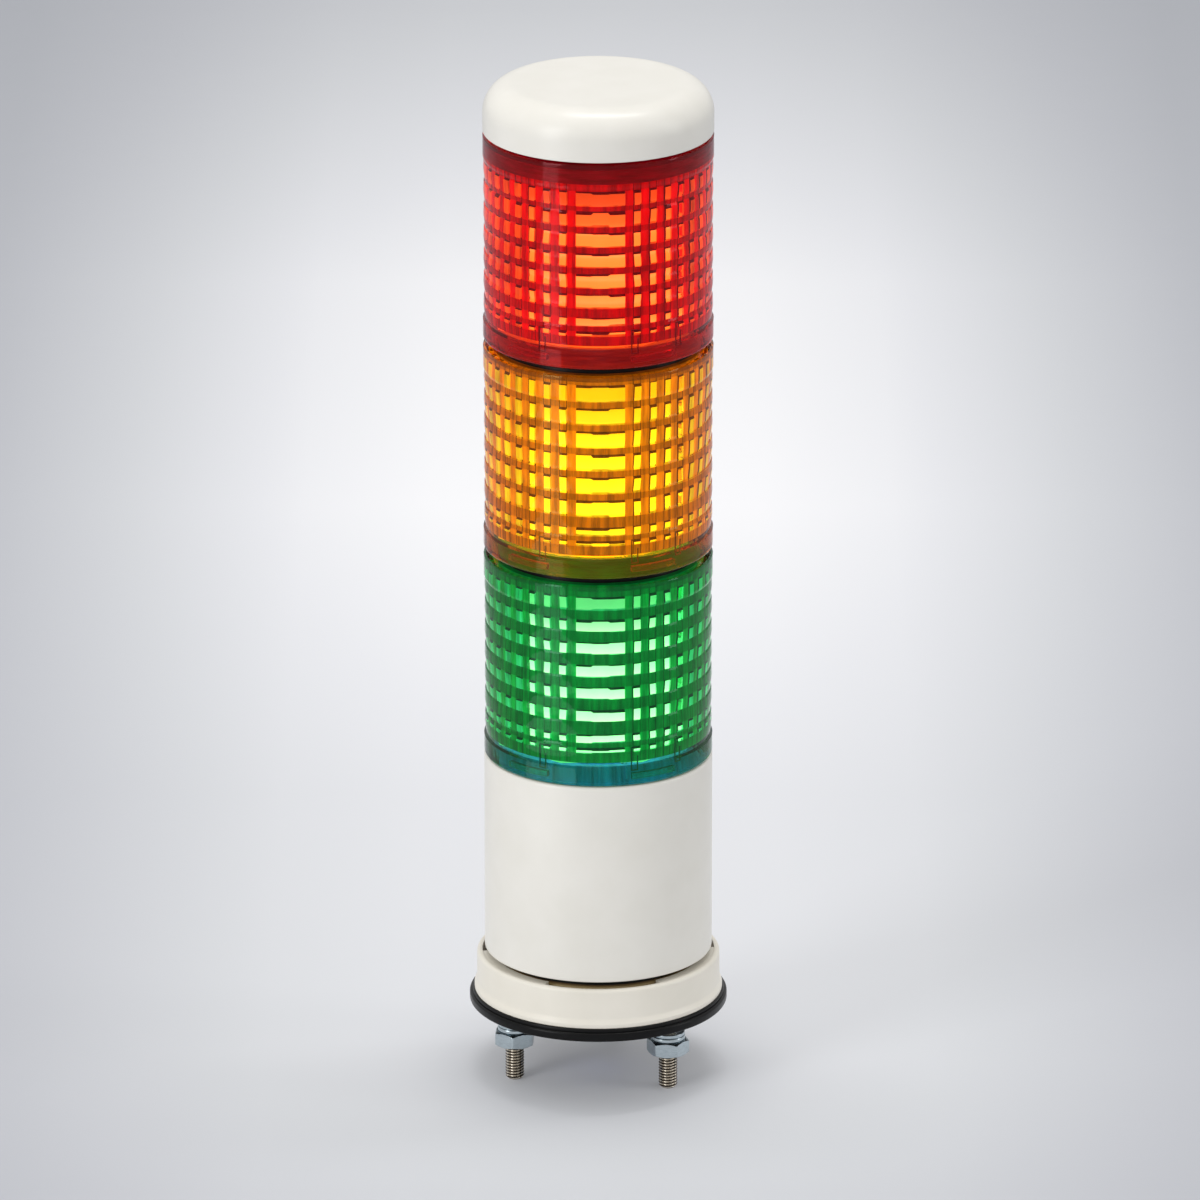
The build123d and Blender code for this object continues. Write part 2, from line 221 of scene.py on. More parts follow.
def rib_plastic(name, colour, glow, stretch=(70, 70, 7)):
    """Deep plastic of the ribs: streaked, with a faint painted glow that stands in for the light inside.
    """
    shader = Shader(name)
    streaks = shader.noise(9, 4, 0.65, stretch)
    shader.link(shader.ramp(streaks, [(0.36, dimmed(colour, 0.5)), (0.62, colour)]),
                shader.bsdf.inputs["Base Color"])
    # painted glow, stronger on the lighter streaks
    shader.bsdf.inputs["Emission Color"].default_value = (*colour, 1)
    shader.link(shader.ramp(streaks, greys([(0.34, 0.35 * glow), (0.64, glow)])),
                shader.bsdf.inputs["Emission Strength"])
    shader.link(shader.spread(streaks, 0.25, 0.45), shader.bsdf.inputs["Roughness"])
    shader.link(shader.bump(streaks, 0.3, 0.0004), shader.bsdf.inputs["Normal"])
    return shader.material


def painted_shade_neck(name):
    """Plastic of the neck, with painted light and shade: dark under the body, paler where light falls on
    its foot.
    """
    shader = Shader(name)
    waver = shader.spread(shader.noise(40, 3), -0.2 * MM, 0.2 * MM)
    ragged = shader.math("ADD", shader.height(), waver)
    # painted shade high up under the body, painted light on the foot
    shader.link(shader.ramp(shader.span(ragged, NECK_LIT_TO * MM, NECK_DARK_FROM * MM), [
        (0.1, srgb(225, 200, 150)), (0.45, srgb(140, 112, 70)), (0.8, srgb(14, 12, 9)),
    ]), shader.bsdf.inputs["Base Color"])
    shader.link(shader.spread(shader.noise(200, 2), 0.4, 0.55), shader.bsdf.inputs["Roughness"])
    return shader.material


# How bright the core's painted glow is over its height: pairs of a share of the lens and a level
GLOW_LEVELS = {
    "red": ((0.0, 0.3), (0.15, 0.75), (0.3, 1.0), (0.58, 1.0),
            (0.66, 0.6), (0.76, 0.25), (0.88, 0.12), (1.0, 0.3)),
    "amber": ((0.0, 0.4), (0.15, 0.7), (0.3, 1.0), (0.6, 1.0), (0.7, 0.7), (0.8, 0.6), (1.0, 0.4)),
    "green": ((0.0, 0.4), (0.15, 0.8), (0.3, 1.0), (0.65, 1.0), (0.75, 0.7), (0.85, 0.35), (1.0, 0.3)),
}


def light_core(name, glow, strength, low, glow_levels):
    """The white core, with a painted glow that is brightest over the middle rows of its lens."""
    shader = Shader(name)
    shader.set(Roughness=0.5)
    mottle = shader.noise(60, 3)
    shader.link(shader.ramp(mottle, [(0.3, srgb(225, 225, 220)), (0.7, srgb(245, 245, 240))]),
                shader.bsdf.inputs["Base Color"])
    shader.bsdf.inputs["Emission Color"].default_value = (*glow, 1)
    share = shader.span(shader.height(), low.z * MM, (low.z + LENS_H) * MM)
    mottled = shader.math("MULTIPLY", shader.spread(mottle, 0.85, 1.1),
                          shader.ramp(share, greys(glow_levels)))
    shader.link(shader.math("MULTIPLY", mottled, strength), shader.bsdf.inputs["Emission Strength"])
    return shader.material


# Mesh helpers
ARC_STEPS = 3            # to a radian of the smallest rounded corner


def at_angle(radius, angle, height):
    """A point at a radius, an angle in degrees from the front, and a height, in millimetres."""
    turn = FRONT + radians(angle)
    return (radius * cos(turn) * MM, radius * sin(turn) * MM, height * MM)


def rounded(corners):
    """A closed section's outline with its corners rounded. Each corner is (r, z, radius)."""
    outline = []
    count = len(corners)
    for number, (r, z, radius) in enumerate(corners):
        here = Vector((r, z))
        if radius <= 0:
            outline.append((r, z))
            continue
        before = (Vector(corners[number - 1][:2]) - here).normalized()
        after = (Vector(corners[(number + 1) % count][:2]) - here).normalized()
        half = before.angle(after) / 2
        centre = here + (before + after).normalized() * (radius / sin(half))
        first = here + before * (radius / tan(half)) - centre
        last = here + after * (radius / tan(half)) - centre
        sweep = pi - 2 * half
        side = 1 if first.x * last.y - first.y * last.x > 0 else -1
        steps = max(2, int(sweep * (ARC_STEPS + radius)))
        for step in range(steps + 1):
            turn = side * sweep * step / steps
            outline.append((
                centre.x + first.x * cos(turn) - first.y * sin(turn),
                centre.y + first.x * sin(turn) + first.y * cos(turn),
            ))
    return outline


class Form:
    """A mesh that is put together from turned sections, blocks of a ring and grids."""

    def __init__(self, name):
        self.name = name
        self.points = []
        self.faces = []
        self.slots = []

    def grid(self, rings, closed=True, slot_of=None):
        """Joins rings of points to each other, and the last to the first where closed."""
        start = len(self.points)
        count = len(rings[0])
        for ring in rings:
            self.points += ring
        for number in range(len(rings) if closed else len(rings) - 1):
            after = (number + 1) % len(rings)
            for step in range(count):
                following = (step + 1) % count
                self.faces.append((
                    start + number * count + step, start + after * count + step,
                    start + after * count + following, start + number * count + following,
                ))
                self.slots.append(slot_of(number, step, following) if slot_of else 0)
        if not closed:
            self.faces.append(tuple(start + step for step in range(count)))
            last = start + (len(rings) - 1) * count
            self.faces.append(tuple(last + step for step in reversed(range(count))))
            self.slots += [0, 0]

    def turned(self, outline, segments=192, centre=(0, 0, 0)):
        """A closed section of (r, z) points turned about an upright axis through centre."""
        rings = []
        for r, z in outline:
            ring = [at_angle(r, 360 * step / segments, z) for step in range(segments)]
            rings.append([(x + centre[0], y + centre[1], z_m) for x, y, z_m in ring])
        self.grid(rings)

    def block(self, inner, outer, start, span, bottom, top, steps=24, slot=0):
        """A piece of a ring, from one angle to another."""
        rings = []
        for step in range(steps + 1):
            angle = start + span * step / steps
            rings.append([
                at_angle(inner, angle, bottom), at_angle(inner, angle, top),
                at_angle(outer, angle, top), at_angle(outer, angle, bottom),
            ])
        self.grid(rings, closed=False, slot_of=lambda number, step, following: slot)
        self.slots[-2:] = [slot, slot]

    def finish(self, materials, node, body, edge=35):
        """Makes the object that stands in for a node, with its edges sharp over an angle."""
        mesh = bpy.data.meshes.new(self.name)
        mesh.from_pydata(self.points, [], self.faces)
        for material in materials:
            mesh.materials.append(material)
        for polygon, number in zip(mesh.polygons, self.slots):
            polygon.material_index = number
        outward = bmesh.new()
        outward.from_mesh(mesh)
        bmesh.ops.recalc_face_normals(outward, faces=outward.faces)
        outward.to_mesh(mesh)
        outward.free()
        mesh.shade_smooth()
        mesh.set_sharp_from_angle(angle=radians(edge))
        piece = bpy.data.objects.new(self.name, mesh)
        bpy.context.scene.collection.objects.link(piece)
        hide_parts(node)
        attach(piece, body)
        return piece


# Sizes in millimetres, as in the CAD part
COLUMNS = 42
PITCH = 360 / COLUMNS
CORNER = 5.5             # a corner between two columns lies this far from the front
ROWS = 7
ROW_H = 6.3
BAND_BOTTOM = 5.2
LENS_H = 55.8
TIER_PITCH = 57.9
SKIRT_R = 27.9
SKIRT_INNER_TOP = 6.0    # inside the skirt, where the wall starts to thicken
RIB_BOTTOM = 6.2
SPIGOT_OUT_R = 26.5
SPIGOT_IN_R = 24.3
SHOULDER_IN_Z = 54.0     # underside of the shoulder that carries the spigot
SPIGOT_TOP = TIER_PITCH + 4.6
CLAW_STARTS = (-54, 18, 162)
CLAW_SPAN = 26
CLAW_BOTTOM = 1.1
CLAW_H = 1.5
CLAW_DEPTH = 1.1
CLAW_ROOT = 0.4          # how far a claw reaches into the wall
NECK_R = 26.5
NECK_WALL = 2.2
NECK_LIT_TO = 12.3       # heights between which the painted light on the neck's foot fades into painted shade
NECK_DARK_FROM = 13.7
BODY_WALL = 2.4
FLANGE_R = 32.5
FLANGE_WALL = 1.5
FLANGE_FLOOR = 2.7
FLANGE_LIP_H = 2.4
FLANGE_LIP_EDGE = 1.2    # height of the lip's upright edge
FLANGE_HOLE_R = 10.0
LEDGE_H = 1.7
LEDGE_IN_R = 28.1
LEDGE_ROOT = 0.05        # how far the ledge reaches into the wall
STOP_SPAN = 3.5          # of the stop at a ledge's end, in degrees
LUG_H = 1.7
LUG_AFTER = 4.2          # degrees from a window's end to the body's lug
LUG_SPAN = 52
GAP = 0.3
SEAM_OVERLAP = 0.02      # between the body's shell and its neck
WINDOW_START = -28.0
WINDOW_SPAN = 61.0
PLACES = (0, 120, 240)
PLACE_STEP = 120
CABLE_R = 9.0
GASKET_STEP = 0.8
GASKET_STEP_H = 2.4
GASKET_STEP_SLOPE = 0.05
GASKET_BACK = 0.015      # keeps the ring inside the solid's own box
STUD_PLACE_R = 24.0
STUD_ANGLES = (51, 171, 291)
STUD_R = 2.5
THREAD_PITCH = 0.8
THREAD_DEPTH = 0.46
THREAD_SLOPE = 1.25      # steepens the flanks
THREAD_CREST = 0.12      # leaves a little of the crest flat
THREAD_SIDES = 40
THREAD_LEVELS = 8        # to a turn of the thread
TIP_BEVEL = 0.75
DARK_FROM = 0.55         # the thread is painted dark, as shade, from here out, 0 being its root and 1 its crest
STUD_HEAD_AF = 8.0
STUD_HEAD_H = 3.0
COLLAR_IN_R = STUD_HEAD_AF * 0.58    # collars of the flange round the studs' heads
COLLAR_WALL = 1.6
COLLAR_ROOT = 0.5
WASHER_R = {"spring_washers": 4.6, "flat_washers": 4.5}
WASHER_EDGES = {"flat_washers": 0.22, "spring_washers": 0.4}
WASHER_PLAY = 0.2
NUT_AF = 10.0
NUT_SIDES = 144
NUT_BORE_R = STUD_R - 0.3
NUT_CORNER = 0.988       # what is left of a nut's dulled corners
NUT_TURNS = (-6, 10, 25)
CHAMFER_DEPTHS = (0, 0.08, 0.16, 0.24, 0.32, 0.4, 0.48, 0.6)
CHAMFER_SLOPE = tan(radians(30))
CHAMFER_INSET = 0.15
CAP_WALL = 2.4
CAP_ROUND = 8.0
CAP_OVERLAP = 0.6        # how far its skirt comes down over the seal


def stud_places():
    """Centres of the studs, in metres."""
    return [at_angle(STUD_PLACE_R, angle, 0) for angle in STUD_ANGLES]


def make_cap():
    form = Form("cap_shell")
    inner_r = TOWER_R - BODY_WALL
    low, high = cap_low.z - CAP_OVERLAP, cap_high.z
    form.turned(rounded([
        (0.01, high, 0),
        (TOWER_R, high, CAP_ROUND),
        (TOWER_R, low, 0.35),
        (inner_r, low, 0.2),
        (inner_r, high - CAP_ROUND, 0),
        (TOWER_R - CAP_ROUND, high - CAP_WALL, 0),
        (0.01, high - CAP_WALL, 0),
    ]))
    form.finish([white], "top_cap", "cap")


def make_body():
    low, high = body_low.z, body_high.z
    foot = BODY_BOTTOM
    floor = foot + BODY_WALL
    inner_r = TOWER_R - BODY_WALL
    shell = Form("body_shell")
    shell.turned(rounded([
        (NECK_R - NECK_WALL, foot, 0),
        (TOWER_R, foot, 0.45),
        (TOWER_R, high, 0.9),
        (inner_r, high, 0.3),
        (inner_r, floor, 0.5),
        (NECK_R - NECK_WALL, floor, 0.3),
    ]))
    shell.finish([white], "body_housing", "body")
    neck = Form("body_neck")
    neck.turned(rounded([
        (NECK_R - NECK_WALL, low, 0.2),
        (NECK_R, low, 0.2),
        (NECK_R, foot - SEAM_OVERLAP, 0),
        (NECK_R - NECK_WALL, foot - SEAM_OVERLAP, 0),
    ]))
    for place in PLACES:
        neck.block(NECK_R - NECK_WALL / 2, FLANGE_R - FLANGE_WALL - 2 * GAP,
                   WINDOW_START + WINDOW_SPAN + LUG_AFTER + place, LUG_SPAN, low, low + LUG_H)
    neck.finish([shaded_neck_plastic], "body_housing", "body")


def make_flange():
    form = Form("flange_shell")
    low, high = flange_low.z, flange_high.z
    lip_r = flange_high.x
    inner_r = FLANGE_R - FLANGE_WALL
    floor = low + FLANGE_FLOOR
    form.turned(rounded([
        (FLANGE_HOLE_R, low, 0.3),
        (lip_r, low, 0.3),
        (lip_r, low + FLANGE_LIP_EDGE, 0.5),
        (FLANGE_R, low + FLANGE_LIP_H, 1.2),
        (FLANGE_R, high, 0.9),
        (inner_r, high, 0.15),
        (inner_r, floor, 0.6),
        (FLANGE_HOLE_R, floor, 0.4),
    ]))
    ledge_out_r = inner_r + LEDGE_ROOT
    ledge_bottom = high - LEDGE_H
    for place in PLACES:
        start = WINDOW_START + WINDOW_SPAN + place
        form.block(LEDGE_IN_R, ledge_out_r, start, PLACE_STEP - WINDOW_SPAN,
                   ledge_bottom, high - GAP, 60)
        form.block(LEDGE_IN_R, ledge_out_r, start, STOP_SPAN, ledge_bottom - LUG_H, ledge_bottom, 4)
    for x, y, z in stud_places():
        form.turned(rounded([
            (COLLAR_IN_R, floor - COLLAR_ROOT, 0),
            (COLLAR_IN_R + COLLAR_WALL, floor - COLLAR_ROOT, 0),
            (COLLAR_IN_R + COLLAR_WALL, floor + STUD_HEAD_H, 0.4),
            (COLLAR_IN_R, floor + STUD_HEAD_H, 0.3),
        ]), segments=48, centre=(x, y, 0))
    form.finish([ivory], "base_flange", "base")


def make_gasket():
    form = Form("gasket_ring")
    low, high = gasket_low.z, gasket_high.z
    edge_r = gasket_high.x - GASKET_BACK
    form.turned(rounded([
        (CABLE_R, low, 0.2),
        (edge_r, low, 0.55),
        (edge_r, low + GASKET_STEP_H, 0.55),
        (edge_r - GASKET_STEP, low + GASKET_STEP_H + GASKET_STEP_SLOPE, 0),
        (edge_r - GASKET_STEP, high, 0.35),
        (CABLE_R, high, 0.2),
    ]))
    form.finish([black_rubber], "base_gasket", "base")


def thread_radius(angle, z, bottom):
    """Radius of a stud's helical thread, tapered over its tip."""
    turn = (z / THREAD_PITCH - angle / 360) % 1
    inward = 1 - abs(2 * turn - 1)
    depth = THREAD_DEPTH * min(1, max(0, THREAD_SLOPE * inward - THREAD_CREST))
    return min(STUD_R - depth, STUD_R - TIP_BEVEL + (z - bottom))


def make_studs():
    form = Form("threaded_studs")
    bottom = stud_low.z
    head = stud_high.z - STUD_HEAD_H
    level = THREAD_PITCH / THREAD_LEVELS
    levels = int((head - bottom) / level)
    for x, y, z in stud_places():
        rings = []
        for number in range(levels + 1):
            height = bottom + number * level
            ring = []
            for side in range(THREAD_SIDES):
                angle = 360 * side / THREAD_SIDES
                px, py, pz = at_angle(thread_radius(angle, height, bottom), angle, height)
                ring.append((px + x, py + y, pz))
            rings.append(ring)

        def thread_slot(number, step, following):
            """The slot of a face, by how far out on the thread its middle lies."""
            turn = ((bottom + (number + 0.5) * level) / THREAD_PITCH - (step + 0.5) / THREAD_SIDES) % 1
            return 1 if abs(2 * turn - 1) > DARK_FROM else 0

        form.grid(rings, closed=False, slot_of=thread_slot)
        hexagon = STUD_HEAD_AF / sqrt(3)
        form.turned([(0.01, head), (hexagon, head), (hexagon, stud_high.z), (0.01, stud_high.z)],
                    segments=6, centre=(x, y, 0))
    form.finish([nickel, thread_shade_steel], "mounting_studs", "base", edge=60)


def hexagon_radius(angle, turn):
    """Radius of a nut's side, with its corners a little dulled."""
    off = (angle - turn + 30) % 60 - 30
    return min(NUT_AF / 2 / cos(radians(off)), NUT_AF / sqrt(3) * NUT_CORNER)


def make_nuts():
    form = Form("chamfered_nuts")
    low, high = nut_low.z, nut_high.z
    for (x, y, z), turn in zip(stud_places(), NUT_TURNS):
        rings = []

        def ring(radius_of, height):
            points = []
            for side in range(NUT_SIDES):
                angle = 360 * side / NUT_SIDES
                px, py, pz = at_angle(radius_of(angle), angle, height)
                points.append((px + x, py + y, pz))
            rings.append(points)

        def cone(depth):
            """Radius of the chamfered hexagon at a depth below either face."""
            chamfer_r = NUT_AF / 2 - CHAMFER_INSET + depth / CHAMFER_SLOPE
            return lambda angle: min(hexagon_radius(angle, turn), chamfer_r)

        ring(lambda angle: NUT_BORE_R, low)
        for depth in CHAMFER_DEPTHS:
            ring(cone(depth), low + depth)
        for depth in reversed(CHAMFER_DEPTHS):
            ring(cone(depth), high - depth)
        ring(lambda angle: NUT_BORE_R, high)
        form.grid(rings)
    form.finish([zinc], "hex_nuts", "base", edge=18)


def make_washers():
    """Flat washers with rounded edges over spring washers, both turned as plain rings, the spring
    washers without their slit.
    """
    for name, node in (("round_washers", "flat_washers"), ("split_rings", "spring_washers")):
        low, high = box_of(node)
        form = Form(name)
        reach = WASHER_R[node]
        edge = WASHER_EDGES[node]
        for x, y, z in stud_places():
            form.turned(rounded([
                (STUD_R + WASHER_PLAY, low.z, edge / 2),
                (reach, low.z, edge),
                (reach, high.z, edge),
                (STUD_R + WASHER_PLAY, high.z, edge / 2),
            ]), segments=72, centre=(x, y, 0))
        form.finish([zinc], node, "base", edge=50)


# Stage: a pale floor with a painted pool of light, brightest behind the object, and a faint painted
# glow. Lengths are in metres.
FLOOR_HALF = 6.0
FLOOR_PAINTED_GLOW = 0.11
POOL_W = 0.3
POOL_NEAR = -0.3
POOL_FAR = 1.3
POOL_ACROSS = ((0.0, 1.0), (0.17, 0.96), (0.3, 0.84), (0.5, 0.46), (0.65, 0.2), (1.0, 0.05))
POOL_ALONG = ((0.0, 0.3), (0.13, 0.44), (0.19, 0.64), (0.32, 0.7),
              (0.48, 1.0), (0.62, 0.97), (0.82, 0.48), (1.0, 0.2))

# Lights: azimuth from the front and elevation, in degrees, then distance, width and height, and watts
LIGHT_AIM = Vector((0, 0, 0.12))
STRIP_AZIMUTH = -48
STRIP_LIFT = 0.006       # of the strip's middle over the floor
BAR_PLACE = (0.1, 0.16, 1.5)
WORLD_LEVEL = 0.64
AREA_LIGHTS = {
    "softbox_left": (-48, 14, 1.6, 0.5, 1.5, 9.5),
    "softbox_right": (80, 15, 1.8, 0.4, 1.4, 4),
    "strip_left": (STRIP_AZIMUTH, 0, 0.62, 0.24, 0.8, 0.7),
    "softbox_top": (-40, 82, 1.7, 1.3, 1.3, 2.5),
    "bar_top": (0, 90, 1.4, 0.8, 0.12, 5),
}


def make_stage():
    mesh = bpy.data.meshes.new("floor")
    corners = [
        (x * FLOOR_HALF, y * FLOOR_HALF, FLOOR_Z) for x, y in ((-1, -1), (1, -1), (1, 1), (-1, 1))
    ]
    mesh.from_pydata(corners, [], [(0, 1, 2, 3)])
    floor = bpy.data.objects.new("floor", mesh)
    bpy.context.scene.collection.objects.link(floor)
    shader = Shader("studio_floor")
    spot = shader.node("ShaderNodeSeparateXYZ", {
        "Vector": shader.node("ShaderNodeTexCoord").outputs["Object"],
    })
    aside = shader.math("ABSOLUTE", spot.outputs["X"])
    across = shader.ramp(shader.span(aside, 0, POOL_W), greys(POOL_ACROSS))
    along = shader.ramp(shader.span(spot.outputs["Y"], POOL_NEAR, POOL_FAR), greys(POOL_ALONG))
    # painted pool of light: the floor's colour is brightest behind the object
    shade = shader.ramp(shader.math("MULTIPLY", across, along), [
        (0.0, srgb(166, 169, 176)), (0.25, srgb(187, 189, 195)), (0.5, srgb(207, 209, 213)),
        (0.75, srgb(226, 227, 231)), (1.0, srgb(246, 246, 248)),
    ])
    shader.link(shade, shader.bsdf.inputs["Base Color"])
    # a faint painted glow that lifts the floor and its shadows
    shader.link(shade, shader.bsdf.inputs["Emission Color"])
    shader.set(Emission_Strength=FLOOR_PAINTED_GLOW)
    grain = shader.noise(60, 3)
    shader.link(shader.spread(grain, 0.55, 0.68), shader.bsdf.inputs["Roughness"])
    mesh.materials.append(shader.material)


def make_area_light(name, azimuth, elevation, distance, width, height, power):
    """A softbox that looks at the middle of the tower."""
    light = bpy.data.lights.new(name, "AREA")
    light.shape = "RECTANGLE"
    light.size = width
    light.size_y = height
    light.energy = power
    lamp = bpy.data.objects.new(name, light)
    bpy.context.scene.collection.objects.link(lamp)
    turn = FRONT + radians(azimuth)
    rise = radians(elevation)
    away = Vector((cos(turn) * cos(rise), sin(turn) * cos(rise), sin(rise)))
    lamp.location = LIGHT_AIM + distance * away
    lamp.rotation_euler = (LIGHT_AIM - lamp.location).to_track_quat("-Z", "Y").to_euler()
    return lamp


def make_lights():
    world = bpy.data.worlds.new("studio")
    bpy.context.scene.world = world
    world.use_nodes = True
    background = world.node_tree.nodes["Background"]
    background.inputs["Color"].default_value = (1, 1, 1, 1)
    background.inputs["Strength"].default_value = WORLD_LEVEL
    lamps = {name: make_area_light(name, *values) for name, values in AREA_LIGHTS.items()}
    # the strip lies just above the floor and shines straight up
    strip = lamps["strip_left"]
    strip.location.z = FLOOR_Z + STRIP_LIFT
    strip.rotation_euler = (pi, 0, radians(STRIP_AZIMUTH))
    strip.visible_camera = False
    # the bar hangs level and shines straight down
    bar = lamps["bar_top"]
    bar.location = BAR_PLACE
    bar.rotation_euler = (0, 0, 0)


def make_camera():
    camera = bpy.data.cameras.new("camera")
    camera.lens = CAMERA_LENS
    camera.sensor_width = CAMERA_SENSOR
    camera.clip_end = CAMERA_FAR
    holder = bpy.data.objects.new("camera", camera)
    bpy.context.scene.collection.objects.link(holder)
    away = Vector((0, -cos(CAMERA_ELEVATION), sin(CAMERA_ELEVATION)))
    holder.location = CAMERA_TARGET + CAMERA_DISTANCE * away
    holder.rotation_euler = (-away).to_track_quat("-Z", "Y").to_euler()
    bpy.context.scene.camera = holder


# Lens shape: zones of its surface, which are also the slots of its materials
# LIT faces carry painted highlights, DARK faces painted shade, BAR a darker shaded copy of the ribs;
# ribs, band and highlights glow as painted light
CLEAR, RIB, BAND, LIT, DARK, BAR, WINDOW = range(7)
WINDOW_R = 28.9          # inner face of a window
RIB_R = 28.2             # inner face of the ribs, and of the bars between rows
WIDE_FROM = -11.9        # a wide window without ribs at the front
WIDE_TO = 14.3
WIDE_STEPS = 25
WIDE_GROUPS = 3          # parts of the wide window, each with an unevenness of its own
GROUP_STEPS = 8
SIDE_COLUMNS = 37        # of windows round the rest
SIDE_SHARE = 0.2         # half a window's share of its column
RIGHT_PLACE = 0.69       # a window's middle within its column, right of the front
LEFT_PLACE = 0.25
SLOPE = 0.4              # of the windows' sides, in degrees and millimetres
COLUMN_GAP = 0.1         # least space between two windows' slopes, in degrees
ROW_WINDOWS = {          # height of the lowest row, row pitch and window height
    "red": (12.6, 5.6, 3.2), "amber": (12.7, 6.35, 3.9), "green": (12.9, 6.3, 2.8),
}
FOOT_ROW_DROP = 3.3      # a half-hidden row lies this far under the lowest
LOW_HALF = 0.8           # half the height of the lowest row's windows
LOW_HALF_STEP = 0.5      # the half-hidden row's are less by this
BAND_ROWS = 6.7          # the band starts this many row pitches over the lowest row
BAND_REST = 0.6          # plain wall over the highest row, outside
SEE_THROUGH = 46.0       # windows farther round than this from front and back glow as painted highlights
JITTER = 0.35            # unevenness of the windows, in degrees and millimetres
HOOK_ANGLES = (-30.5, 19, 45.5, 120, 150, 205, 240, 275)
HOOK_SPAN = 3.4          # ribs that catch over the claws' ends, seen by their dark outline, which is painted shade
HOOK_BOTTOM = 3.6
HOOK_TOP = 10.2
HOOK_SHORTER = 2.4       # on its right side
HOOK_LINE = 0.5          # width of its outline at the sides, in degrees
HOOK_LINE_H = 0.25       # and at the top and bottom, in millimetres
HOOK_DEPTHS = (0.1, 0.6)
SEAL_T = 0.45            # rubber ring round the foot of the spigot; its black also darkens the seam as painted shade
SEAL_TOP = LENS_H + 1.0
SEAL_ROOT = 0.1
CORNER_DULL = 0.12       # how much the outer corners are dulled
EDGE = 0.5               # round outer edges: how far they reach
EDGE_MIDDLE = 0.15       # and how far their middle lies in
FACET_SHARES = (0, 0.19, 0.23, 0.77, 0.81)
ROW_RELIEFS = (          # a row's outside from the top down: height over its foot, and depth
    (ROW_H - 0.25, 0.16), (ROW_H * 0.6, 0.02), (0.3, 0.4),
)


def facet_angles():
    """Angles round the flat-sided outside, five to a column."""
    return [
        CORNER + PITCH * (column - 2 + share)
        for column in range(COLUMNS) for share in FACET_SHARES
    ]


def window_stops():
    """Angles round the inside where it changes, each with whether a window is there, and its column."""
    stops = [(WIDE_FROM, False, 0)]
    step = (WIDE_TO - WIDE_FROM - 2 * SLOPE) / (WIDE_STEPS - 2)
    for number in range(WIDE_STEPS - 1):
        stops.append((WIDE_FROM + SLOPE + number * step, True, number // GROUP_STEPS))
    width = (360 - WIDE_TO + WIDE_FROM) / SIDE_COLUMNS
    for column in range(SIDE_COLUMNS):
        start = WIDE_TO + column * width
        middle = start + width * (RIGHT_PLACE if start < 180 else LEFT_PLACE)
        near, far = middle - SIDE_SHARE * width, middle + SIDE_SHARE * width
        for angle, is_window in (
            (min(start, near - SLOPE - COLUMN_GAP), False),
            (near - SLOPE, False), (near, True), (far, True), (far + SLOPE, False),
        ):
            stops.append((angle, is_window, WIDE_GROUPS + column))
    return stops


def outer_radius(angle, relief):
    """The flat-sided outside at an angle, less a row's relief."""
    turned_by = (angle - CORNER) % PITCH - PITCH / 2
    flat = TOWER_R * cos(radians(PITCH / 2)) / cos(radians(turned_by))
    return min(flat, TOWER_R - CORNER_DULL) - relief


